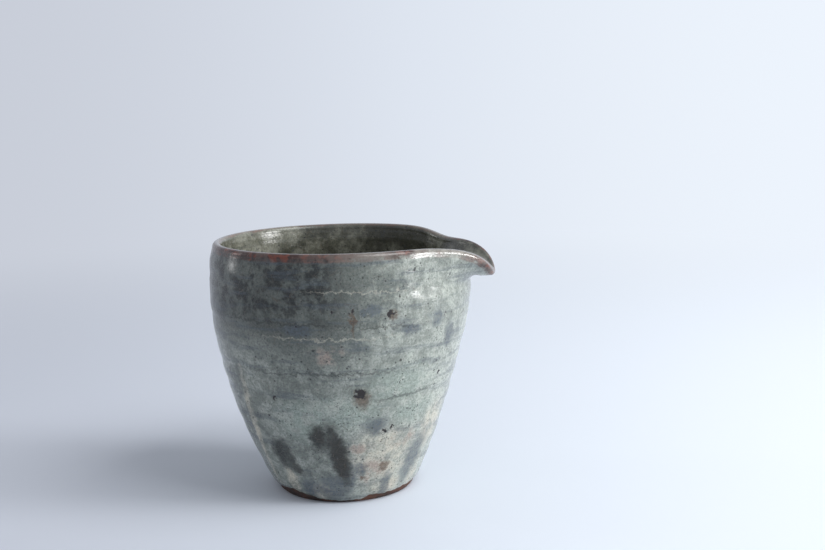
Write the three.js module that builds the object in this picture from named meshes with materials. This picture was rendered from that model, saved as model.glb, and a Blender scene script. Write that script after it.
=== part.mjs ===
// A spouted pouring bowl in the Japanese katakuchi form: iron-bearing stoneware thrown on a wheel,
// its lip pulled out by hand into a spout, dipped in white slip and then in a clear ash glaze.
// +Z is up, +X points along the spout, and the origin is the middle of the footprint on the table.
//
// The bowl is built as it was made. The clay body comes first, and each coat is a thin shell that
// lies face to face on what is under it: a slip coat outside and one inside, which stop short of
// the lip, and a glaze coat outside and one inside, which run thin over the lip and meet at its
// crest. Every surface is a stack of rings round the throwing axis, and a ring is a station on the
// wall, such as "outside, 45 mm up", lifted off the clay by the coats that lie under it.
import * as THREE from "three";

// Overall size, in millimetres, with the coats on. Heights are above the table.
const rimHeight = 90;

// The outside of the clay wall, from the foot to the mouth.
const footRadius = 24.3;
const hipHeight = 20;
const hipRadius = 33.1;
const sideHeight = 45;
const sideRadius = 41;
const bellyHeight = 68;
const bellyRadius = 45.4;
const mouthRadius = 44.6;
const wallSway = 0.9; // the lower wall leans away from the spout by this much, as it dried

// The clay's thickness.
const wallAtHip = 4.8;
const wallAtLip = 2.8;
const lipRound = 1.5; // height of the rounded lip
const floorThickness = 5.6;
const floorStart = 19; // the inside of the wall turns into the floor at this height

// The trimmed foot.
const footRingWidth = 5;
const footRecess = 2.4;
const recessSlope = 1;
const footChamfer = 0.7;

// The spout: the top of the wall turned outward, most on the spout's axis.
const spoutRoot = 73.4;
const spoutBend = 10;
const spoutTurn = 104; // degrees from upright at the tip
const spoutWidth = 24; // across the lip where the turn has fallen to about a third
const spoutSharpness = 1.7;
const spoutDip = 4.9; // the lip dips this much, measured up the wall, along the spout's axis
const spoutDipReach = 21;
const shoulderDip = 2.3; // one shoulder of the spout sank more than the other when it was pulled
const shoulderAngle = 37; // degrees round from the spout's axis
const shoulderDipReach = 12;
const pinchDepth = 0.9; // the finger marks left on both sides of the spout
const pinchReach = 8;
const pinchHeight = 78;
const pinchSpacing = 46; // between the two pinches, measured round the lip

// The coats.
const slipThickness = 0.35;
const glazeThickness = 0.45;
const lipGlaze = 0.2;
const slipDrawback = 3; // the slip stops this far below the top of the lip
const glazeLine = 2.2; // mean height of the glaze's lower edge over the bare foot
const glazeLineWave = 1.3;
const glazeEdge = 0.9; // height over which the glaze's edge rolls to full thickness

// How finely the rings are divided.
const spoutSteps = 22;
const backSteps = 26;
const spoutSector = 36; // degrees each side of the spout's axis that get the finer steps
const lipSteps = 6;
const floorSteps = 4;
const bendSteps = 16;

const clayColor = 0x3a2a22;
const slipColor = 0xd6d2c4;
const outerGlazeColor = 0x8b9690;
const innerGlazeColor = 0x7f8578;

const wallCurve = new THREE.CubicInterpolant(
  [0, hipHeight, sideHeight, bellyHeight, rimHeight],
  [footRadius, hipRadius, sideRadius, bellyRadius, mouthRadius],
  1,
);
const radiusAt = (height) => wallCurve.evaluate(height)[0];
const lipTop = rimHeight - lipGlaze - lipRound; // where the wall ends and the rounded lip starts

// The directions of the ring points, close together round the spout.
function ringAngles() {
  const sector = THREE.MathUtils.degToRad(spoutSector);
  const angles = [];
  for (let i = 0; i < spoutSteps; i++) angles.push(-sector + (2 * sector * i) / spoutSteps);
  for (let i = 0; i < backSteps; i++) {
    angles.push(sector + ((2 * Math.PI - 2 * sector) * i) / backSteps);
  }
  return angles;
}
const angles = ringAngles();

// An angle brought to the nearest turn from the spout's axis.
const fromSpout = (angle) => Math.atan2(Math.sin(angle), Math.cos(angle));

// How much of the spout's turn the lip has in this direction, from 0 to 1.
function spoutShare(angle) {
  const across = (Math.abs(fromSpout(angle)) * mouthRadius) / (spoutWidth / 2);
  return Math.exp(-Math.pow(across, spoutSharpness));
}

// How much lower the lip is in this direction than on the thrown mouth, measured up the wall.
function lipDip(angle) {
  const across = fromSpout(angle) * mouthRadius;
  const toShoulder = across - THREE.MathUtils.degToRad(shoulderAngle) * mouthRadius;
  const bell = (distance, reach) => Math.exp(-(distance * distance) / (reach * reach));
  return spoutDip * bell(across, spoutDipReach) + shoulderDip * bell(toShoulder, shoulderDipReach);
}

// How deep the two finger pinches press the wall in at this place.
function pinchAt(angle, height) {
  const along = Math.abs(fromSpout(angle)) * mouthRadius - pinchSpacing / 2;
  const up = height - pinchHeight;
  return pinchDepth * Math.exp(-(along * along + up * up) / (pinchReach * pinchReach));
}

// The clay's outside at a height on the thrown wall. Above the spout's root the wall turns outward.
function clayOutside(angle, height) {
  let radius = radiusAt(Math.min(height, spoutRoot));
  let z = Math.min(height, spoutRoot);
  const share = spoutShare(angle);
  const kept = 1 - lipDip(angle) / (rimHeight - spoutRoot);
  const step = (height - spoutRoot) / bendSteps;
  for (let i = 0; i < bendSteps && step > 0; i++) {
    const at = spoutRoot + (i + 0.5) * step;
    const lean = Math.atan((radiusAt(at + step / 2) - radiusAt(at - step / 2)) / step);
    const bent = THREE.MathUtils.smoothstep(at, spoutRoot, spoutRoot + spoutBend);
    const turn = lean + THREE.MathUtils.degToRad(spoutTurn) * share * bent;
    radius += (Math.sin(turn) * kept * step) / Math.cos(lean);
    z += (Math.cos(turn) * kept * step) / Math.cos(lean);
  }
  radius -= pinchAt(angle, height);
  const sway = wallSway * Math.sin((Math.PI * Math.min(z, bellyHeight)) / bellyHeight);
  return new THREE.Vector3(radius * Math.cos(angle) - sway, radius * Math.sin(angle), z);
}

// The upward direction along the wall, and the way out of it, at a place on the clay's outside.
function wallFrame(angle, height) {
  const small = 0.01;
  const up = clayOutside(angle, height + small).sub(clayOutside(angle, height - small)).normalize();
  const turn = small / bellyRadius;
  const round = clayOutside(angle + turn, height).sub(clayOutside(angle - turn, height));
  return { up, out: round.cross(up).normalize() };
}

const wallThickness = (height) =>
  THREE.MathUtils.mapLinear(height, hipHeight, lipTop, wallAtHip, wallAtLip);

// Stations. Each takes a direction and the lift of the coats off the clay, and gives a point.
const outside = (height) => (angle, lift) => {
  const h = typeof height === "function" ? height(angle) : height;
  return clayOutside(angle, h).addScaledVector(wallFrame(angle, h).out, lift);
};

const inside = (height) => (angle, lift) =>
  clayOutside(angle, height).addScaledVector(
    wallFrame(angle, height).out,
    -wallThickness(height) - lift,
  );

// The rounded lip: half a turn from the top of the outside over the crest to the inside.
const overLip = (turn) => (angle, lift) => {
  const outer = outside(lipTop)(angle, lift);
  const inner = inside(lipTop)(angle, lift);
  const half = outer.clone().sub(inner).divideScalar(2);
  return inner
    .add(half)
    .addScaledVector(half, Math.cos(turn))
    .addScaledVector(wallFrame(angle, lipTop).up, (lipRound + lift) * Math.sin(turn));
};

// The floor: from the foot of the inside wall in a round curve to the middle.
const floorHeight = footRecess + floorThickness;
const onFloor = (share) => (angle, lift) => {
  const start = inside(floorStart)(angle, 0);
  const down = wallFrame(angle, floorStart).up.negate();
  const middle = new THREE.Vector3(0, 0, floorHeight);
  const corner = start.clone().addScaledVector(down, (floorHeight - start.z) / down.z);
  const curve = new THREE.QuadraticBezierCurve3(start, corner, middle);
  const along = curve.getTangent(share);
  const round = new THREE.Vector3(-Math.sin(angle), Math.cos(angle), 0);
  return curve.getPoint(share).addScaledVector(round.cross(along).normalize(), lift);
};

// The trimmed foot, round the throwing axis.
const onFoot = (radius, z) => (angle) =>
  new THREE.Vector3(radius * Math.cos(angle), radius * Math.sin(angle), z);

// The glaze's lower edge wanders round the foot, as it ran.
const glazeLineAt = (angle) =>
  glazeLine + glazeLineWave * Math.sin(angle + 2) * Math.cos(2 * angle + 0.6);

// A ring is a station at a lift, and rank says how high it stands in the stack, so that two
// solids that share a surface split its four-sided patches the same way.
const ring = (rank, station, lift = 0) => ({
  rank,
  points: angles.map((angle) => station(angle, lift)),
});
const pole = (rank, x, z) => ({ rank, points: [new THREE.Vector3(x, 0, z)] });

// Skins the rings into a closed surface. The stack starts and ends in poles, or closes on itself.
function skin(rings, closes) {
  const position = [];
  const face = (...corners) => corners.forEach((p) => position.push(p.x, p.y, p.z));
  const bands = closes ? rings.length : rings.length - 1;
  for (let k = 0; k < bands; k++) {
    const a = rings[k];
    const b = rings[(k + 1) % rings.length];
    for (let i = 0; i < angles.length; i++) {
      const j = (i + 1) % angles.length;
      if (a.points.length === 1) face(a.points[0], b.points[j], b.points[i]);
      else if (b.points.length === 1) face(a.points[i], a.points[j], b.points[0]);
      else if (a.rank < b.rank === i < spoutSteps / 2) {
        face(a.points[i], a.points[j], b.points[j]);
        face(a.points[i], b.points[j], b.points[i]);
      } else {
        face(a.points[i], a.points[j], b.points[i]);
        face(a.points[j], b.points[j], b.points[i]);
      }
    }
  }
  const geometry = new THREE.BufferGeometry();
  geometry.setAttribute("position", new THREE.Float32BufferAttribute(position, 3));
  geometry.computeVertexNormals();
  return geometry;
}

// Heights of the stations up the wall, with more of them where the spout turns.
const slipTop = rimHeight - slipDrawback;
const spoutRows = [0, 0.25, 0.5, 0.8].map((share) => spoutRoot + share * (slipTop - spoutRoot));
const fullEdge = (angle) => glazeLineAt(angle) + glazeEdge;
const outerRows = [9, hipHeight - 2, 28, 38, sideHeight + 4, 58, bellyHeight, ...spoutRows];
const innerRows = [...spoutRows.toReversed(), bellyHeight - 2, sideHeight + 7, 37, floorStart + 6];

// The stacks of stations that the solids share, from the foot up the outside and down the inside.
const outerWall = outerRows.map((height, i) => ({ rank: 10 + i, station: outside(height) }));
const outerLip = Array.from({ length: lipSteps / 2 }, (_, i) => ({
  rank: 41 + i,
  station: overLip((Math.PI * i) / lipSteps),
}));
const crest = { rank: 50, station: overLip(Math.PI / 2) };
const innerLip = Array.from({ length: lipSteps / 2 }, (_, i) => ({
  rank: 49 - i,
  station: overLip((Math.PI * (i + 1 + lipSteps / 2)) / lipSteps),
}));
const innerWall = innerRows.map((height, i) => ({ rank: 39 - i, station: inside(height) }));
const floor = Array.from({ length: floorSteps }, (_, i) => ({
  rank: 20 - i,
  station: onFloor(i / floorSteps),
}));
const stack = (stations, lift) => stations.map((s) => ring(s.rank, s.station, lift));

const glazeEdgeOutside = outside(glazeLineAt);
const slipEdgeOutside = outside(fullEdge);
const slipTopOutside = outside(slipTop);
const slipTopInside = inside(slipTop);
const outerCoat = slipThickness + glazeThickness;

// The clay body, from the middle of the foot up the outside, over the lip and down to the floor.
function clayBody() {
  const ringInside = footRadius - footChamfer - footRingWidth;
  return skin([
    pole(0, 0, footRecess - recessSlope / 2),
    ring(1, onFoot(ringInside - recessSlope, footRecess)),
    ring(2, onFoot(ringInside, 0)),
    ring(3, onFoot(footRadius - footChamfer, 0)),
    ring(4, onFoot(footRadius, footChamfer)),
    ring(5, glazeEdgeOutside),
    ring(6, slipEdgeOutside),
    ...stack(outerWall, 0),
    ring(40, slipTopOutside),
    ...stack(outerLip, 0),
    ring(crest.rank, crest.station),
    ...stack(innerLip, 0),
    ring(40, slipTopInside),
    ...stack(innerWall, 0),
    ...stack(floor, 0),
    pole(0, 0, floorHeight),
  ]);
}

// The slip outside: a feather edge over the foot, and another where it drew back from the lip.
function outerSlip() {
  return skin(
    [
      ring(6, slipEdgeOutside),
      ...stack(outerWall, slipThickness),
      ring(40, slipTopOutside),
      ...stack(outerWall, 0).reverse(),
    ],
    true,
  );
}

// The slip inside: the same, down to the middle of the floor.
function innerSlip() {
  return skin([
    pole(0, 0, floorHeight),
    ...stack(floor, 0).reverse(),
    ...stack(innerWall, 0).reverse(),
    ring(40, slipTopInside),
    ...stack(innerWall, slipThickness),
    ...stack(floor, slipThickness),
    pole(0, 0, floorHeight + slipThickness),
  ]);
}

// The glaze outside, from its wandering line over the foot to the crest of the lip.
function outerGlaze() {
  return skin(
    [
      ring(5, glazeEdgeOutside),
      ring(6, slipEdgeOutside, glazeThickness),
      ...stack(outerWall, outerCoat),
      ring(40, slipTopOutside, glazeThickness),
      ...stack(outerLip, lipGlaze),
      ring(crest.rank, crest.station, lipGlaze),
      ring(crest.rank, crest.station),
      ...stack(outerLip, 0).reverse(),
      ring(40, slipTopOutside),
      ...stack(outerWall, slipThickness).reverse(),
      ring(6, slipEdgeOutside),
    ],
    true,
  );
}

// The glaze inside, from the crest of the lip down to the floor.
function innerGlaze() {
  return skin([
    pole(0, 0, floorHeight + slipThickness),
    ...stack(floor, slipThickness).reverse(),
    ...stack(innerWall, slipThickness).reverse(),
    ring(40, slipTopInside),
    ...stack(innerLip, 0).reverse(),
    ring(crest.rank, crest.station),
    ring(crest.rank, crest.station, lipGlaze),
    ...stack(innerLip, lipGlaze),
    ring(40, slipTopInside, glazeThickness),
    ...stack(innerWall, outerCoat),
    ...stack(floor, outerCoat),
    pole(0, 0, floorHeight + outerCoat),
  ]);
}

function addPiece(group, name, geometry, color, roughness) {
  const material = new THREE.MeshStandardMaterial({ color, roughness, metalness: 0 });
  const mesh = new THREE.Mesh(geometry, material);
  mesh.name = name;
  group.add(mesh);
}

const bowl = new THREE.Group();
addPiece(bowl, "stoneware_body", clayBody(), clayColor, 0.8);
addPiece(bowl, "outer_slip", outerSlip(), slipColor, 0.7);
addPiece(bowl, "inner_slip", innerSlip(), slipColor, 0.7);
addPiece(bowl, "outer_glaze", outerGlaze(), outerGlazeColor, 0.2);
addPiece(bowl, "inner_glaze", innerGlaze(), innerGlazeColor, 0.2);

// The throwing axis stands off the origin, so that the footprint, spout included, is centred.
const footprint = new THREE.Box3().setFromObject(bowl, true);
bowl.position.x = -(footprint.min.x + footprint.max.x) / 2;

export default bowl;
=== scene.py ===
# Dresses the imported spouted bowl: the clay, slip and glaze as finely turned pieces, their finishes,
# and a pale table in soft light from the right, with painted light falloff: darker to the left.
import math
from functools import lru_cache
import bmesh
import bpy
from mathutils import Matrix, Vector, noise


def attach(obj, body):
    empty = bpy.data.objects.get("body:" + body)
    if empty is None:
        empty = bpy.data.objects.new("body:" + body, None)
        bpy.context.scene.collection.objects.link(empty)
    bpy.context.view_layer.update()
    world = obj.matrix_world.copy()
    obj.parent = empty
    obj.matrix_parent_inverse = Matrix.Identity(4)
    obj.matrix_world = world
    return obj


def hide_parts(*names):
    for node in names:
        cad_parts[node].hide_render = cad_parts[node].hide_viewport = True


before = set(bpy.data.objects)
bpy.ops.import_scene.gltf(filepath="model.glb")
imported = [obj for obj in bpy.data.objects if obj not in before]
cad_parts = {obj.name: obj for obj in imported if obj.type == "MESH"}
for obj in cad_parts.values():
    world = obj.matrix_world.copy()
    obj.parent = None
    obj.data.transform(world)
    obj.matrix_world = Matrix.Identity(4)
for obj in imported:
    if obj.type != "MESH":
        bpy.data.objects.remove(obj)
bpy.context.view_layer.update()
print("frame loaded:", len(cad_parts), "nodes")

# The bowl's form, in millimetres, as the potter left it. Heights are above the table.
bowl = {
    "rimHeight": 90,
    "wallHeights": (0, 20, 45, 68, 90),
    "wallRadii": (24.3, 33.1, 41, 45.4, 44.6),
    "axisX": -4.446,        # the throwing axis stands this far from the middle of the footprint
    "sway": 0.9,
    "swayTop": 68,
    "wallAtHip": 4.8,
    "wallAtLip": 2.8,
    "hipHeight": 20,
    "lipRound": 1.5,
    "floorHeight": 8,
    "floorStart": 19,
    "spoutRoot": 73.4,
    "spoutBend": 10,
    "spoutTurn": 104,
    "spoutWidth": 24,
    "spoutSharpness": 1.7,
    "spoutDip": 4.9,
    "spoutDipReach": 21,
    "shoulderDip": 2.3,
    "shoulderAngle": 37,
    "shoulderDipReach": 12,
    "pinchDepth": 0.9,
    "pinchReach": 8,
    "pinchHeight": 78,
    "pinchSpacing": 46,
    "slip": 0.35,
    "glaze": 0.45,
    "lipGlaze": 0.2,
    "slipStart": 1.4,
    "slipTop": 87,
    "glazeThinsFrom": 84.3,
    "steps": 240,    # points round each ring
    "bendSteps": 12,
}
mm = 0.001
lipTop = bowl["rimHeight"] - bowl["lipGlaze"] - bowl["lipRound"]
coat = bowl["slip"] + bowl["glaze"]

# What the potter's hands left on the wall: a groove or ridge is (height, rise round the wall,
# width, depth), and a hollow is (degrees round, height, half width, half height, depth).
handWork = {
    "waves": ((7.4, 1, 0.07), (12.5, 2, 0.06)),     # spacing up the wall, turns, swing
    "rings": ((66.8, 1.0, 0.9, 0.20), (77.6, 0.6, 0.5, -0.12), (50.0, 1.2, 0.8, 0.14),
              (40.6, -1.6, 1.1, 0.14)),
    "ringPhase": 1.2,
    "hollows": ((-86, 22, 6, 10, 0.45), (-118, 18, 6, 9, 0.40), (-32, 15, 6, 9, 0.3),
                (60, 24, 7, 11, 0.4), (128, 20, 7, 10, 0.4), (-39, 79, 6, 6, 1.1),
                (-133, 28, 2, 20, -0.3)),
    "wobble": 0.16,
    "wobbleHeight": 40,
    "grain": 0.10,
    "grainRound": 3.2,      # how often the grain changes round the wall and up it
    "grainUp": 0.09,
}

# The glaze's lower edge over the foot: its mean height, lobes of (degrees round, half width, rise)
# and waves of (turns, phase). Above evenFrom the coats' rows lie level. The roll is the edge's
# section: (height, lift off the clay).
glazeEdge = {
    "height": 2.2,
    "lobes": ((-80, 26, -1.3), (-124, 16, 1.5), (-18, 20, 0.3), (-58, 7, 0.9), (30, 30, 0.6),
              (100, 40, -0.7), (165, 30, 0.8)),
    "waves": ((23, 0.3), (41, 1.7), (67, 2.9)),
    "ragged": 0.35,
    "least": 0.75,
    "evenFrom": 9,
    "roll": ((0, 0), (0.12, 0.20), (0.4, 0.34), (0.9, 0.43), (1.5, 0.55)),
}


# A smooth curve through the wall's stations, as the solid has it.
def radiusAt(height):
    t, v = bowl["wallHeights"], bowl["wallRadii"]
    if height >= t[-1]:
        return v[-1]
    i = max(k for k in range(len(t) - 1) if t[k] <= max(height, 0))
    t0, t1 = t[i], t[i + 1]
    before, vBefore = (t[i - 1], v[i - 1]) if i > 0 else (t1, v[i + 1])
    after, vAfter = (t[i + 2], v[i + 2]) if i + 2 < len(t) else (t0, v[i])
    half = (t1 - t0) / 2
    wp, wn = half / (t0 - before), half / (after - t1)
    p = (height - t0) / (t1 - t0)
    p2, p3 = p * p, p * p * p
    return ((-wp * p3 + 2 * wp * p2 - wp * p) * vBefore
            + ((1 + wp) * p3 + (-1.5 - 2 * wp) * p2 + (-0.5 + wp) * p + 1) * v[i]
            + ((-1 - wn) * p3 + (1.5 + wn) * p2 + 0.5 * p) * v[i + 1]
            + (wn * p3 - wn * p2) * vAfter)


def bell(distance, reach):
    return math.exp(-(distance * distance) / (reach * reach))


def fromSpout(angle):
    return math.atan2(math.sin(angle), math.cos(angle))


def smoothStep(value, low, high):
    t = min(max((value - low) / (high - low), 0), 1)
    return t * t * (3 - 2 * t)


def turnShare(angle):
    across = abs(fromSpout(angle)) * bowl["wallRadii"][-1] / (bowl["spoutWidth"] / 2)
    return math.exp(-across ** bowl["spoutSharpness"])


def lipDip(angle):
    across = fromSpout(angle) * bowl["wallRadii"][-1]
    shoulder = math.radians(bowl["shoulderAngle"]) * bowl["wallRadii"][-1]
    return (bowl["spoutDip"] * bell(across, bowl["spoutDipReach"])
            + bowl["shoulderDip"] * bell(across - shoulder, bowl["shoulderDipReach"]))


# How far the hands pressed the wall in at a place, in millimetres.
def pressedIn(angle, height):
    along = abs(fromSpout(angle)) * bowl["wallRadii"][-1] - bowl["pinchSpacing"] / 2
    deep = bowl["pinchDepth"] * bell(math.hypot(along, height - bowl["pinchHeight"]), bowl["pinchReach"])
    for spacing, turns, swing in handWork["waves"]:
        deep += swing * math.sin(2 * math.pi * height / spacing + turns * angle)
    for ringHeight, rise, width, depth in handWork["rings"]:
        deep += depth * bell(height - ringHeight - rise * math.sin(angle + handWork["ringPhase"]), width)
    for degrees, middle, wide, tall, depth in handWork["hollows"]:
        off = fromSpout(angle - math.radians(degrees)) * radiusAt(middle)
        deep += depth * bell(math.hypot(off / wide, (height - middle) / tall), 1)
    above = handWork["wobbleHeight"]
    deep += handWork["wobble"] * math.sin(2 * angle + 1 + height / above) * smoothStep(height, 0, above)
    spot = Vector((math.cos(angle) * handWork["grainRound"], math.sin(angle) * handWork["grainRound"],
                   height * handWork["grainUp"]))
    return deep + handWork["grain"] * noise.noise(spot)


# The clay's outside at a height on the thrown wall, which turns outward above the spout's root.
@lru_cache(maxsize=None)
def clayOutside(angle, height):
    root = bowl["spoutRoot"]
    radius, z = radiusAt(min(height, root)), min(height, root)
    if height > root:
        share, step = turnShare(angle), (height - root) / bowl["bendSteps"]
        kept = 1 - lipDip(angle) / (bowl["rimHeight"] - root)
        for i in range(bowl["bendSteps"]):
            at = root + (i + 0.5) * step
            lean = math.atan((radiusAt(at + step / 2) - radiusAt(at - step / 2)) / step)
            bent = smoothStep(at, root, root + bowl["spoutBend"])
            turn = lean + math.radians(bowl["spoutTurn"]) * share * bent
            radius += math.sin(turn) * kept * step / math.cos(lean)
            z += math.cos(turn) * kept * step / math.cos(lean)
    radius -= pressedIn(angle, height)
    lean = bowl["sway"] * math.sin(math.pi * min(z, bowl["swayTop"]) / bowl["swayTop"])
    return Vector((radius * math.cos(angle) - lean, radius * math.sin(angle), z))


@lru_cache(maxsize=None)
def wallFrame(angle, height):
    small = 0.05
    up = (clayOutside(angle, height + small) - clayOutside(angle, height - small)).normalized()
    turn = small / bowl["wallRadii"][-1]
    across = clayOutside(angle + turn, height) - clayOutside(angle - turn, height)
    return up, across.cross(up).normalized()


def wallThickness(height):
    share = (height - bowl["hipHeight"]) / (lipTop - bowl["hipHeight"])
    return bowl["wallAtHip"] + share * (bowl["wallAtLip"] - bowl["wallAtHip"])


def outside(angle, height, lift):
    return clayOutside(angle, height) + wallFrame(angle, height)[1] * lift


def inside(angle, height, lift):
    return clayOutside(angle, height) - wallFrame(angle, height)[1] * (wallThickness(height) + lift)


def overLip(angle, degrees, lift):
    outer, inner = outside(angle, lipTop, lift), inside(angle, lipTop, lift)
    turn = math.radians(degrees)
    up = wallFrame(angle, lipTop)[0]
    return ((outer + inner) / 2 + (outer - inner) / 2 * math.cos(turn)
            + up * ((bowl["lipRound"] + lift) * math.sin(turn)))


def onFloor(angle, share, lift):
    start = inside(angle, bowl["floorStart"], 0)
    down = -wallFrame(angle, bowl["floorStart"])[0]
    middle = Vector((0, 0, bowl["floorHeight"]))
    corner = start + down * ((bowl["floorHeight"] - start.z) / down.z)
    point = start * (1 - share) ** 2 + corner * 2 * share * (1 - share) + middle * share * share
    along = (corner - start) * (1 - share) + (middle - corner) * share
    across = Vector((-math.sin(angle), math.cos(angle), 0))
    return point + across.cross(along).normalized() * lift


# The trimmed foot seen from below, from its middle out to the wall: (radius, height).
footTurning = ((0, 1.90), (6, 1.93), (12, 2.08), (16, 2.32), (17.1, 2.38), (17.7, 2.25), (18.2, 0.60),
               (18.4, 0.20), (18.8, 0), (21, 0), (23.4, 0), (23.9, 0.12), (24.25, 0.45))

# Each piece is first drawn as a strip: z runs along the wall's section and the radius holds the
# lift off the clay. It is spun to a tube, and each point of the tube is then carried to its place.
# Below 0 the strip counts through footTurning, then it runs up the outside in millimetres, over
# the lip in degrees, down the inside in millimetres and across the floor.
stripRadius = 60
lipStart, insideStart, floorFrom = 100, 300, 400
lipDegrees = 180
floorSpan = 10
mergeDistance = 2e-6        # metres
sharpEdge = math.radians(50)


def edgeHeight(angle):
    height = glazeEdge["height"]
    for degrees, wide, rise in glazeEdge["lobes"]:
        height += rise * bell(math.degrees(fromSpout(angle - math.radians(degrees))), wide)
    for turns, phase in glazeEdge["waves"]:
        height += glazeEdge["ragged"] / 3 * math.sin(turns * angle + phase)
    return max(height, glazeEdge["least"])


def carried(angle, along, lift, coated):
    if along < 0:
        radius, height = footTurning[round(along) + len(footTurning)]
        return Vector((radius * math.cos(angle), radius * math.sin(angle), height))
    if along < lipStart:
        even = glazeEdge["evenFrom"]
        if coated and along < even:
            low = edgeHeight(angle)
            along = low + (even - low) * along / even
        return outside(angle, along, lift)
    if along <= lipStart + lipDegrees:
        return overLip(angle, along - lipStart, lift)
    if along < floorFrom:
        return inside(angle, lipTop - (along - insideStart), lift)
    return onFloor(angle, (along - floorFrom) / floorSpan, lift)


# Distance down the wall from the top of the lip, which the finishes read.
def belowLip(along):
    if along < 0:
        return bowl["rimHeight"]
    if along < lipStart:
        return bowl["lipRound"] + lipTop - along
    if along <= lipStart + lipDegrees:
        return bowl["lipRound"] * abs(along - lipStart - lipDegrees / 2) / 60
    if along < floorFrom:
        return bowl["lipRound"] + along - insideStart
    return bowl["rimHeight"]


def spinPiece(name, strip, closes, coated):
    bm = bmesh.new()
    low = bm.verts.layers.float.new("belowLip")
    verts = [bm.verts.new((stripRadius + lift, 0, along)) for along, lift in strip]
    edges = [bm.edges.new(pair) for pair in zip(verts, verts[1:])]
    if closes:
        edges.append(bm.edges.new((verts[-1], verts[0])))
    bmesh.ops.spin(bm, geom=verts + edges, cent=(0, 0, 0), axis=(0, 0, 1), angle=2 * math.pi,
                   steps=bowl["steps"], use_merge=True, use_duplicate=False)
    step = 2 * math.pi / bowl["steps"]
    for vert in bm.verts:
        angle = round(math.atan2(vert.co.y, vert.co.x) / step) * step
        along = round(vert.co.z, 3)
        lift = round(math.hypot(vert.co.x, vert.co.y) - stripRadius, 3)
        place = carried(angle, along, lift, coated)
        vert[low] = belowLip(along)
        vert.co = (place + Vector((bowl["axisX"], 0, 0))) * mm
    bmesh.ops.remove_doubles(bm, verts=bm.verts, dist=mergeDistance)
    bmesh.ops.recalc_face_normals(bm, faces=bm.faces)
    for face in bm.faces:
        face.smooth = True
    for edge in bm.edges:
        if len(edge.link_faces) == 2 and edge.calc_face_angle() > sharpEdge:
            edge.smooth = False
    mesh = bpy.data.meshes.new(name)
    bm.to_mesh(mesh)
    bm.free()
    piece = bpy.data.objects.new(name, mesh)
    bpy.context.scene.collection.objects.link(piece)
    print("turned", name, len(mesh.polygons), "faces")
    return piece


def rows(start, stop, spacing):
    count = max(1, round(abs(stop - start) / spacing))
    return [start + (stop - start) * i / count for i in range(count + 1)]


def layer(alongs, lift):
    return [(along, lift(along) if callable(lift) else lift) for along in alongs]


# The glaze thins from full thickness to the lip's as it nears the crest.
def glazeLift(along):
    height = along if along < lipStart else lipTop - (along - insideStart)
    points = ((bowl["glazeThinsFrom"], coat), (bowl["slipTop"], bowl["glaze"]), (lipTop, bowl["lipGlaze"]))
    for (h0, l0), (h1, l1) in zip(points, points[1:]):
        if height <= h1:
            return l0 + (l1 - l0) * max(0, height - h0) / (h1 - h0)
    return bowl["lipGlaze"]


insideFrom = insideStart + lipTop - bowl["slipTop"]
insideEnd = insideStart + lipTop - bowl["floorStart"]
floorRows = rows(floorFrom, floorFrom + floorSpan, 0.5)
lipRows = rows(lipStart, lipStart + lipDegrees, 15)


def turnClay():
    strip = [(i - len(footTurning), 0) for i in range(len(footTurning))]
    up = rows(1.0, 9, 0.5) + rows(11, bowl["slipTop"], 2)[:-1] + rows(bowl["slipTop"], lipTop, 1)[:-1]
    strip += layer(up + lipRows, 0)
    strip += layer(rows(insideStart + 1, insideEnd, 2.5) + floorRows, 0)
    return spinPiece("clay_body", strip, False, False)


def turnOuterSlip():
    up = rows(bowl["slipStart"], bowl["slipTop"], 2)
    strip = layer(up[:1], 0) + layer(up[1:-1], bowl["slip"])
    strip += layer(up[-1:], 0) + layer(up[1:-1][::-1], 0)
    return spinPiece("slip_outside", strip, True, True)


def turnInnerSlip():
    down = rows(insideFrom, insideEnd, 2.5)[1:] + floorRows
    strip = layer(down[::-1], 0) + [(insideFrom, 0)] + layer(down, bowl["slip"])
    return spinPiece("slip_inside", strip, False, False)


def turnOuterGlaze():
    up = rows(2.4, bowl["slipTop"], 0.9)[:-1] + rows(bowl["slipTop"], lipTop, 0.65)[:-1]
    crest = rows(lipStart, lipStart + lipDegrees / 2, 7.5)
    strip = list(glazeEdge["roll"]) + layer(up, glazeLift) + layer(crest, bowl["lipGlaze"])
    strip += layer(crest[::-1], 0) + [(bowl["slipTop"], 0)]
    strip += layer(rows(bowl["slipTop"] - 2, 3, 2), bowl["slip"]) + [(bowl["slipStart"], 0)]
    return spinPiece("glaze_outside", strip, True, True)


def turnInnerGlaze():
    crest = rows(lipStart + lipDegrees / 2, lipStart + lipDegrees, 7.5)
    down = rows(insideFrom, insideEnd, 0.9)
    under = rows(insideFrom, insideEnd, 2.5)[1:] + floorRows
    strip = layer(under[::-1], bowl["slip"]) + [(insideFrom, 0)] + layer(crest[::-1], 0)
    strip += layer(crest, bowl["lipGlaze"]) + [(insideStart + 0.65, 0.32)] + layer(down, glazeLift)
    strip += layer(floorRows, coat)
    return spinPiece("glaze_inside", strip, False, False)


# A screen colour, 0 to 255, as the light it stands for.
def tone(red, green, blue):
    def light(c):
        c /= 255
        return c / 12.92 if c <= 0.04045 else ((c + 0.055) / 1.055) ** 2.4
    return (light(red), light(green), light(blue), 1)


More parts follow.
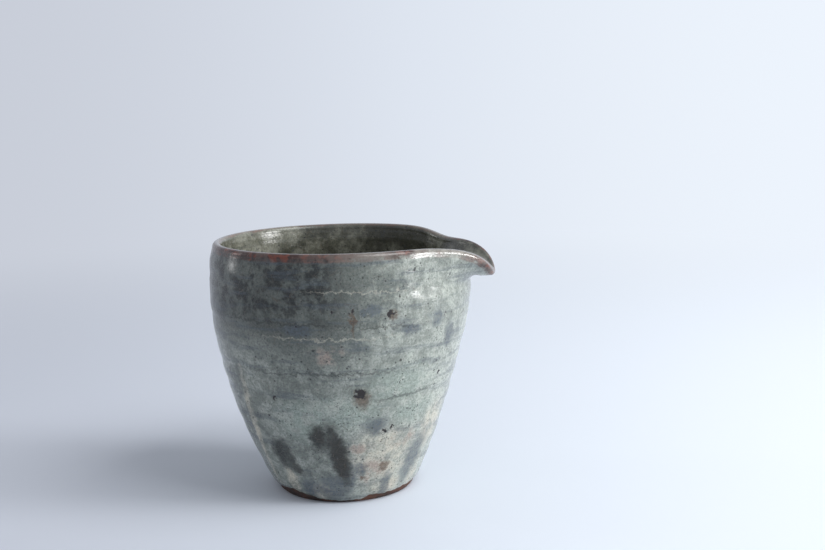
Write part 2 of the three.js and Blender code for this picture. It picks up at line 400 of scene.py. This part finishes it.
# A value, colour or vector in a material, with sums written as they are on paper.
class Shade:
    def __init__(self, tree, socket=None):
        self.tree = tree
        self.socket = socket

    def node(self, kind, settings=None, sockets=None, output=0):
        made = self.tree.nodes.new("ShaderNode" + kind)
        for key, value in (settings or {}).items():
            if key == "stops":
                ramp = made.color_ramp.elements
                while len(ramp) < len(value):
                    ramp.new(0.5)
                for element, (place, colour) in zip(ramp, value):
                    element.position = place
                    element.color = colour
            else:
                setattr(made, key, value)
        for key, value in (sockets or {}).items():
            if isinstance(value, Shade):
                self.tree.links.new(value.socket, made.inputs[key])
            else:
                made.inputs[key].default_value = value
        return Shade(self.tree, made.outputs[output])

    def math(self, operation, first, second=0.0):
        return self.node("Math", {"operation": operation}, {0: first, 1: second})

    def vector(self, operation, first, second=(0, 0, 0), output=0):
        return self.node("VectorMath", {"operation": operation}, {0: first, 1: second}, output)

    def __add__(self, other):
        return self.math("ADD", self, other)

    def __radd__(self, other):
        return self.math("ADD", other, self)

    def __sub__(self, other):
        return self.math("SUBTRACT", self, other)

    def __rsub__(self, other):
        return self.math("SUBTRACT", other, self)

    def __mul__(self, other):
        return self.math("MULTIPLY", self, other)

    def __rmul__(self, other):
        return self.math("MULTIPLY", other, self)

    # 0 below low, 1 above high, smooth between. It falls instead where low is the larger.
    def step(self, low, high):
        return self.node("MapRange", {"interpolation_type": "SMOOTHSTEP"},
                         {"Value": self, "From Min": low, "From Max": high})

    def over(self, base, colour):
        return self.node("Mix", {"data_type": "RGBA"}, {0: self, 6: base, 7: colour}, 2)


def startMaterial(name):
    material = bpy.data.materials.new(name)
    material.use_nodes = True
    tree = material.node_tree
    return material, Shade(tree), tree.nodes["Principled BSDF"]


def feed(shade, shader, sockets):
    for key, value in sockets.items():
        if isinstance(value, Shade):
            shade.tree.links.new(value.socket, shader.inputs[key])
        else:
            shader.inputs[key].default_value = value


# How far, in millimetres, the marks' edges wander and how often.
wander = {"scale": 0.42, "detail": 4, "roughness": 0.62, "reach": 5.5}


# Places on the wall, from the throwing axis: the point in millimetres, and its distance round the
# wall and height, pushed about a little so that no edge runs straight.
class WallMap:
    def __init__(self, shade, arcRadius):
        self.shade = shade
        self.arcRadius = arcRadius
        place = shade.node("TexCoord", output=3)
        self.point = shade.node("Mapping", {"vector_type": "POINT"}, {
            "Vector": place, "Location": (-bowl["axisX"], 0, 0), "Scale": (1000, 1000, 1000)})
        x, y, self.height = (shade.node("SeparateXYZ", None, {0: self.point}, i) for i in range(3))
        self.round = shade.math("ARCTAN2", y, x) * arcRadius
        flat = shade.node("CombineXYZ", None, {0: self.round, 1: self.height, 2: 0})
        push = shade.node("TexNoise", None, {
            "Vector": self.point, "Scale": wander["scale"], "Detail": wander["detail"],
            "Roughness": wander["roughness"]}, 1)
        push = shade.vector("SUBTRACT", push, (0.5, 0.5, 0.5))
        self.flat = shade.vector("ADD", flat, shade.vector(
            "MULTIPLY", push, (wander["reach"], wander["reach"], 0)))

    def noise(self, scale, detail=3, roughness=0.55, stretch=(1, 1, 1)):
        at = self.point
        if stretch != (1, 1, 1):
            at = self.shade.node("Mapping", {"vector_type": "POINT"}, {
                "Vector": at, "Scale": stretch})
        return self.shade.node("TexNoise", None, {
            "Vector": at, "Scale": scale, "Detail": detail, "Roughness": roughness})

    # An oval patch: degrees round from the spout, height, half width, half height, lean in degrees.
    # It fades over the share soft of its size on either side of its edge.
    def patch(self, degrees, height, wide, tall, lean=0, soft=0.35):
        local = self.shade.node("Mapping", {"vector_type": "TEXTURE"}, {
            "Vector": self.flat, "Location": (math.radians(degrees) * self.arcRadius, height, 0),
            "Rotation": (0, 0, math.radians(lean)), "Scale": (wide, tall, 1)})
        far = self.shade.vector("LENGTH", self.shade.vector("MULTIPLY", local, (1, 1, 0)), output=1)
        return far.step(1 + soft, 1 - soft)

    def patches(self, places, soft=0.35):
        whole = None
        for place in places:
            one = self.patch(*place, soft=soft)
            whole = one if whole is None else self.shade.math("MAXIMUM", whole, one)
        return whole

    # Specks: one to a cell of the given size, as wide as the share says, in this share of the cells.
    def specks(self, size, wide, share):
        settings = {"feature": "F1", "distance": "EUCLIDEAN"}
        sockets = {"Vector": self.point, "Scale": 1 / size, "Randomness": 1}
        near = self.shade.node("TexVoronoi", settings, sockets, 0)
        chance = self.shade.node("TexVoronoi", settings, sockets, 1)
        chance = self.shade.node("SeparateColor", None, {0: chance}, 0)
        return near.step(wide, wide * 0.55) * chance.step(1 - share, 1.05 - share)


# The glaze's colours, its grains as (scale, detail, roughness, stretch), its specks as (cell,
# width, share of the cells), and its marks as oval patches on the wall.
glazeLook = {
    "mapRadius": 42,
    "cloud": (0.045, 4, 0.6),
    "mottle": (0.22, 5, 0.65),
    "streak": (0.30, 4, 0.6, (0.16, 0.16, 1.4)),
    "fine": (1.4, 4, 0.7),
    "crowd": (0.09, 3, 0.6),
    "fleckGrain": (0.95, 6, 0.78),
    "specks": ((1.05, 0.26, 0.30), (2.1, 0.20, 0.34), (4.6, 0.13, 0.40)),
    "crazeScale": 0.38,
    "lipBand": (2.9, 1.8),          # below the lip's top: the brown fades out between these
    "lipBandInside": (1.5, 0.7),
    "bumpDepth": 0.00012,
    "mid": tone(122, 128, 122),
    "pale": tone(192, 197, 188),
    "dark": tone(42, 46, 44),
    "blueGrey": tone(84, 94, 104),
    "mint": tone(168, 180, 170),
    "cream": tone(212, 206, 190),
    "pink": tone(168, 150, 140),
    "iron": tone(30, 24, 24),
    "rust": tone(92, 66, 44),
    "speck": tone(40, 42, 42),
    "fleck": tone(64, 68, 72),
    "fingerCore": tone(48, 46, 40),
    "dim": tone(196, 200, 200),
    "lipBrown": tone(58, 34, 28),
    "lipRed": tone(104, 50, 34),
    "lipBlack": tone(34, 26, 26),
    "lipPink": tone(134, 112, 104),
    "crestPaleAndHighlight": tone(158, 160, 164),
    "olivePale": tone(146, 146, 134),
    "olive": tone(112, 112, 100),
    "oliveDark": tone(48, 48, 40),
    "fingers": ((-82.5, 20.5, 4.2, 12.5, 15), (-92, 26.5, 4.0, 5.5, 8), (-117, 19, 5.6, 6.5, 20)),
    "fingerCores": ((-82, 19.5, 2.8, 10, 15), (-109.8, 13.8, 2.2, 2.1), (-92, 27.5, 1.8, 3, 8)),
    "bands": ((-30, 14.5, 5, 10, -20), (-70, 14, 3.4, 2.6), (-104, 6, 5, 4.5), (-87, 6.5, 8, 5),
              (-76, 11, 3, 6), (-50, 6, 3, 5), (-66, 71.5, 3.2, 1.6), (-24, 59, 3, 4), (-96, 65.5, 4, 2),
              (-48, 64, 3, 2), (-34, 66, 3, 3), (-62, 31, 5, 2.6)),
    "mints": ((-80, 36, 15, 5.5), (-50, 45, 12, 6), (-100, 33, 9, 7), (-40, 34, 10, 4)),
    # Cream glaze patches. The narrow tall one at -133 degrees is a painted reflection, a pale streak down
    # the wall.
    "creamsAndReflection": ((-56, 18, 15, 10), (-50, 5.5, 9, 4), (-118, 8, 3, 5), (-24, 8, 4, 6), (-96, 5, 5, 3),
               (-133, 27, 1.7, 20, -4), (-20, 26, 7, 8)),
    "pinks": ((-60, 14, 6, 3.2), (-44, 24, 6, 3), (-66, 10.5, 3, 1.6), (-72, 22, 4, 2),
              (-84, 57, 5, 3)),
    "lines": ((-108, 67.6, 26, 0.45, -1), (-62, 65.7, 14, 0.4, -2), (-92, 50.2, 30, 0.42, 0),
              (-46, 40.6, 15, 0.5, 5)),
    "palerLines": ((-68, 77.7, 17, 0.28, -2), (-84, 62.5, 20, 0.3, -1)),
    "brownLip": ((-110, 88, 26, 30), (-52, 88, 5, 20), (4, 80, 16, 20)),
    "irons": ((-70.5, 43.1, 1.9, 2.0), (-73.9, 71.4, 0.55, 0.8), (-57.8, 69.6, 0.9, 1.1),
              (-118, 34.3, 0.6, 0.6), (-108.5, 27.3, 0.45, 0.45), (-112.1, 40.9, 0.6, 0.8),
              (-57, 27.9, 1.0, 0.8), (-53, 29.5, 0.8, 0.7), (-82.6, 71.1, 0.6, 0.6), (-26, 46, 0.7, 0.9),
              (-97, 66.6, 0.4, 0.4)),
    "rusts": ((-69.6, 40.8, 2.8, 3.4), (-73.9, 67.5, 0.7, 4.0), (-57, 69.2, 1.3, 1.5),
              (-54, 14.5, 2.6, 1.6), (-67.5, 10.6, 1.6, 0.8)),
}


def glazeSurface(name, insideOne):
    material, shade, shader = startMaterial(name)
    look = glazeLook
    wall = WallMap(shade, look["mapRadius"])
    lip = shade.node("Attribute", {"attribute_name": "belowLip"}, None, 2)
    cloud, mottle, streak, fine = (
        wall.noise(*look[name]) for name in ("cloud", "mottle", "streak", "fine"))

    if insideOne:
        colour = mottle.step(0.40, 0.62).over(look["olive"], look["olivePale"])
        colour = (cloud.step(0.46, 0.60) * 0.75).over(colour, look["oliveDark"])
        colour = (streak.step(0.55, 0.75) * 0.5).over(colour, look["dark"])
    else:
        # Paler towards the spout, the side the lamps light: partly the glaze's own tone, partly painted
        # light. Also a little paler low on the wall.
        paleGlazeAndLitSide = wall.round.step(-66, -20) * 0.50 + (1 - wall.height.step(42, 74)) * 0.22
        tint = cloud.step(0.40, 0.62) * 0.38 + mottle.step(0.40, 0.60) * 0.46 + paleGlazeAndLitSide - 0.28
        tint = shade.math("MAXIMUM", shade.math("MINIMUM", tint, 1.0), 0.0)
        colour = tint.over(look["mid"], look["pale"])
        # Darker high on the wall on the side away from the spout and the lamps: partly darker glaze,
        # partly painted shade.
        darkGlazeAndShadedTop = wall.height.step(50, 76) * (1 - wall.round.step(-66, -42))
        darkGlazeAndShadedTop = darkGlazeAndShadedTop * (0.40 + mottle.step(0.40, 0.58) * 0.6)
        colour = darkGlazeAndShadedTop.over(colour, look["dark"])
        colour = (streak.step(0.50, 0.68) * 0.50).over(colour, look["blueGrey"])
        mints = wall.patches(look["mints"], 0.6) * (1 - mottle.step(0.48, 0.62)) * 0.7
        colour = mints.over(colour, look["mint"])
        # Cream glaze, and at -133 degrees a painted reflection streak.
        creamsAndReflection = wall.patches(look["creamsAndReflection"], 0.5) * (0.25 + mottle.step(0.38, 0.60) * 0.75)
        colour = creamsAndReflection.over(colour, look["cream"])
        pinks = wall.patches(look["pinks"], 0.5) * mottle.step(0.42, 0.60) * 0.75
        colour = pinks.over(colour, look["pink"])
        bands = wall.patches(look["bands"], 0.45) * (0.35 + fine.step(0.3, 0.7) * 0.6)
        colour = bands.over(colour, look["blueGrey"])
        fingers = wall.patches(look["fingers"], 0.35) * (0.55 + mottle.step(0.3, 0.6) * 0.4)
        colour = fingers.over(colour, look["dark"])
        colour = (wall.patches(look["fingerCores"], 0.5) * 0.75).over(colour, look["fingerCore"])
        colour = (wall.patches(look["rusts"], 0.55) * 0.7).over(colour, look["rust"])
        colour = (wall.patches(look["lines"], 0.6) * 0.5).over(colour, look["dark"])
        colour = (wall.patches(look["palerLines"], 0.6) * 0.4).over(colour, look["cream"])
    dimmed = shade.node("Mix", {"data_type": "RGBA", "blend_type": "MULTIPLY"},
                        {0: 1.0, 6: colour, 7: look["dim"]}, 2)
    colour = ((fine - 0.5) * 1.6 + 0.5).step(0.15, 0.85).over(dimmed, colour)

    crowd = wall.noise(*look["crowd"]).step(0.40, 0.62)
    fleck = wall.noise(*look["fleckGrain"]).step(0.535, 0.66) * (0.30 + crowd * 0.55)
    colour = fleck.over(colour, look["fleck"])
    small, middling, large = (wall.specks(*speck) for speck in look["specks"])
    dots = shade.math("MAXIMUM", small * (0.35 + crowd * 0.6), middling * 0.85)
    dots = shade.math("MAXIMUM", dots, large * 0.95)
    colour = dots.over(colour, look["speck"])
    if not insideOne:
        colour = wall.patches(look["irons"], 0.22).over(colour, look["iron"])

    craze = shade.node("TexVoronoi", {"feature": "DISTANCE_TO_EDGE"}, {
        "Vector": wall.point, "Scale": look["crazeScale"]})
    cracks = craze.step(0.022, 0.006)
    colour = (cracks * 0.22).over(colour, look["rust"])

    ragged = lip + (mottle - 0.5) * 2.4
    bare = wall.patches(look["brownLip"], 0.5) * 0.75
    bare = shade.math("MINIMUM", bare + wall.noise(0.12, 3, 0.6).step(0.46, 0.60) * 0.45, 1.0)
    band = ragged.step(*look["lipBandInside" if insideOne else "lipBand"])
    lipColour = wall.noise(0.30, 3, 0.6).step(0.46, 0.60).over(look["lipBrown"], look["lipRed"])
    lipColour = (wall.noise(0.5, 3).step(0.50, 0.62) * 0.7).over(lipColour, look["lipBlack"])
    lipColour = bare.over(look["lipPink"], lipColour)
    colour = (band * (0.35 + bare * 0.6)).over(colour, lipColour)
    # A pale line along the crest: thinner glaze there, and partly a painted highlight.
    colour = (lip.step(0.8, 0.2) * 0.45).over(colour, look["crestPaleAndHighlight"])

    roughness = 0.16 + mottle.step(0.45, 0.75) * 0.12 + dots * 0.12 + cracks * 0.1
    height = fine * 0.5 + mottle * 1.2 - dots * 0.5 - cracks * 0.5 + streak * 0.6
    bump = shade.node("Bump", None, {
        "Strength": 0.35, "Distance": look["bumpDepth"], "Height": height})
    feed(shade, shader, {"Base Color": colour, "Roughness": roughness, "Normal": bump, "IOR": 1.5,
                         "Specular IOR Level": 0.5})
    return material


clayLook = {
    "mapRadius": 24,
    "dark": tone(44, 32, 28),
    "red": tone(86, 56, 44),
    "grit": tone(128, 112, 96),
    "turningLines": 4.2,            # radians for each millimetre out from the axis
    "bumpDepth": 0.00015,
}


def claySurface():
    material, shade, shader = startMaterial("bare_clay")
    wall = WallMap(shade, clayLook["mapRadius"])
    cloud, fine = wall.noise(0.12, 4, 0.6), wall.noise(1.6, 5, 0.7)
    colour = cloud.step(0.4, 0.62).over(clayLook["dark"], clayLook["red"])
    grit = wall.specks(1.3, 0.22, 0.30)
    colour = (grit * 0.7).over(colour, clayLook["grit"])
    fromAxis = shade.vector("LENGTH", shade.vector("MULTIPLY", wall.point, (1, 1, 0)), output=1)
    turning = shade.math("SINE", fromAxis * clayLook["turningLines"] + cloud * 3.0)
    height = fine * 1.2 + grit * 0.8 + turning * 0.5
    bump = shade.node("Bump", None, {
        "Strength": 0.6, "Distance": clayLook["bumpDepth"], "Height": height})
    feed(shade, shader, {"Base Color": colour, "Roughness": 0.62 + fine * 0.3, "Normal": bump})
    return material


slipLook = {"mapRadius": 42, "white": tone(220, 216, 204), "thin": tone(176, 168, 152)}


def slipSurface():
    material, shade, shader = startMaterial("white_slip")
    wall = WallMap(shade, slipLook["mapRadius"])
    brushed = wall.noise(0.3, 4, 0.6, (0.2, 0.2, 1.2))
    colour = brushed.step(0.4, 0.66).over(slipLook["white"], slipLook["thin"])
    colour = (wall.specks(1.6, 0.2, 0.3) * 0.8).over(colour, clayLook["dark"])
    bump = shade.node("Bump", None, {"Strength": 0.4, "Distance": 0.0001, "Height": brushed})
    feed(shade, shader, {"Base Color": colour, "Roughness": 0.7 + brushed * 0.15, "Normal": bump})
    return material


def dress(piece, material, node):
    piece.data.materials.append(material)
    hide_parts(node)
    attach(piece, "root")


slipFinish = slipSurface()
dress(turnClay(), claySurface(), "stoneware_body")
dress(turnOuterSlip(), slipFinish, "outer_slip")
dress(turnInnerSlip(), slipFinish, "inner_slip")
dress(turnOuterGlaze(), glazeSurface("ash_glaze_outside", False), "outer_glaze")
dress(turnInnerGlaze(), glazeSurface("ash_glaze_inside", True), "inner_glaze")
print("bowl dressed")

# The photograph's view, found from the bowl's outline: distance and height from the foot's middle
# in metres, then degrees. The spout is turned towards the camera by spoutTurned.
view = {"distance": 0.4061, "height": 0.1406, "pitch": 9.092, "yaw": 3.626, "roll": -1.124, "lens": 50.0,
        "sensor": 36, "spoutTurned": 12}


def photoFrame():
    pitch, yaw, roll = (math.radians(view[k]) for k in ("pitch", "yaw", "roll"))
    ahead = Vector((math.sin(yaw) * math.cos(pitch), math.cos(yaw) * math.cos(pitch),
                    -math.sin(pitch)))
    level = Vector((math.cos(yaw), -math.sin(yaw), 0))
    upright = level.cross(ahead)
    right = level * math.cos(roll) + upright * math.sin(roll)
    up = upright * math.cos(roll) - level * math.sin(roll)
    return right, up, ahead


# From the photograph's side of the table to the bowl's own axes.
toBowl = (Matrix.Translation((bowl["axisX"] * mm, 0, 0))
          @ Matrix.Rotation(math.radians(view["spoutTurned"]), 4, "Z"))
eye = Vector((0, -view["distance"], view["height"]))
rightward = (toBowl.to_3x3() @ photoFrame()[0]).normalized()


def placeCamera():
    right, up, ahead = photoFrame()
    turn = Matrix((right, up, -ahead)).transposed().to_4x4()
    data = bpy.data.cameras.new("camera")
    data.lens, data.sensor_width = view["lens"], view["sensor"]
    data.clip_start = 0.01
    camera = bpy.data.objects.new("camera", data)
    camera.matrix_world = toBowl @ Matrix.Translation(eye) @ turn
    bpy.context.scene.collection.objects.link(camera)
    bpy.context.scene.camera = camera


placeCamera()

# The light: panels given by where they stand, seen from the photograph's side of the table, as
# (degrees from the right towards the viewer, degrees up, metres away, width, height, watts).
lamps = {
    "window": (13, 12, 1.6, 0.42, 0.50, 15.0),
    "sky": (28, 50, 1.7, 1.1, 0.9, 17.0),
    "leftPane": (-164, 14, 1.5, 0.12, 0.7, 1.4),
}
lampAim = Vector((0, 0, 0.045))
room = {"colour": tone(232, 235, 240), "strength": 0.55}

# The table's colours at the left, middle and right of the view: painted light falloff, darker to the
# left and brighter to the right. From the nearer to the farther of clear, in metres, it passes from a lit
# surface to the plain backdrop, which glows in these colours.
table = {
    "left": tone(200, 205, 216),
    "middle": tone(222, 229, 240),
    "right": tone(238, 245, 254),
    "across": 0.40,         # the sine of the angle at which the outer colours are full
    "clear": (0.16, 0.75),
    "radius": 14,
}


def placeLamp(name, side, up, away, width, height, power):
    data = bpy.data.lights.new(name, "AREA")
    data.shape, data.size, data.size_y, data.energy = "RECTANGLE", width, height, power
    lamp = bpy.data.objects.new(name, data)
    side, up = math.radians(side), math.radians(up)
    way = Vector((math.cos(up) * math.cos(side), -math.cos(up) * math.sin(side), math.sin(up)))
    place = lampAim + way * away
    turn = (place - lampAim).to_track_quat("Z", "Y").to_matrix().to_4x4()
    lamp.matrix_world = toBowl @ Matrix.Translation(place) @ turn
    bpy.context.scene.collection.objects.link(lamp)


for name, lamp in lamps.items():
    placeLamp(name, *lamp)


# The background's colour from left to right across the view, in a direction from the eye: painted light
# falloff, darker to the left.
def paintedFalloffColour(shade, direction):
    across = shade.vector("DOT_PRODUCT", direction, rightward, output=1)
    return shade.node("ValToRGB", {"stops": (
        (0.0, table["left"]), (0.5, table["middle"]), (1.0, table["right"]))},
        {0: across.step(-table["across"], table["across"])})


def lightWorld():
    world = bpy.data.worlds.new("studio")
    bpy.context.scene.world = world
    world.use_nodes = True
    tree = world.node_tree
    shade = Shade(tree)
    # Seen directly and in reflections, the world shows the painted falloff.
    colour = paintedFalloffColour(shade, shade.node("TexCoord"))
    seen = shade.node("Background", None, {"Color": colour, "Strength": 1.0})
    lit = shade.node("Background", None, {"Color": room["colour"], "Strength": room["strength"]})
    camera = shade.node("LightPath", output="Is Camera Ray")
    glossy = shade.node("LightPath", output="Is Glossy Ray")
    pick = shade.node("MixShader", None, {0: shade.math("MAXIMUM", camera, glossy), 1: lit, 2: seen})
    tree.links.new(pick.socket, tree.nodes["World Output"].inputs["Surface"])


def layTable():
    bm = bmesh.new()
    bmesh.ops.create_circle(bm, cap_ends=True, segments=96, radius=table["radius"])
    mesh = bpy.data.meshes.new("table")
    bm.to_mesh(mesh)
    bm.free()
    top = bpy.data.objects.new("table", mesh)
    bpy.context.scene.collection.objects.link(top)
    material, shade, shader = startMaterial("table_top")
    tree = material.node_tree
    place = shade.node("TexCoord", output=3)
    fromEye = shade.vector("NORMALIZE", shade.vector("SUBTRACT", place, toBowl @ eye))
    colour = paintedFalloffColour(shade, fromEye)
    feed(shade, shader, {"Base Color": colour, "Roughness": 0.75, "Specular IOR Level": 0.2})
    # Far out the table glows in the painted falloff colours instead of being lit.
    glow = shade.node("Emission", None, {"Color": colour, "Strength": 1.0})
    far = shade.vector("LENGTH", place, output=1)
    surface = Shade(tree, shader.outputs[0])
    mix = shade.node("MixShader", None, {0: far.step(*table["clear"]), 1: surface, 2: glow})
    tree.links.new(mix.socket, tree.nodes["Material Output"].inputs["Surface"])
    top.data.materials.append(material)


lightWorld()
layTable()
print("table laid and lit")

bpy.context.scene.view_settings.view_transform = "Standard"
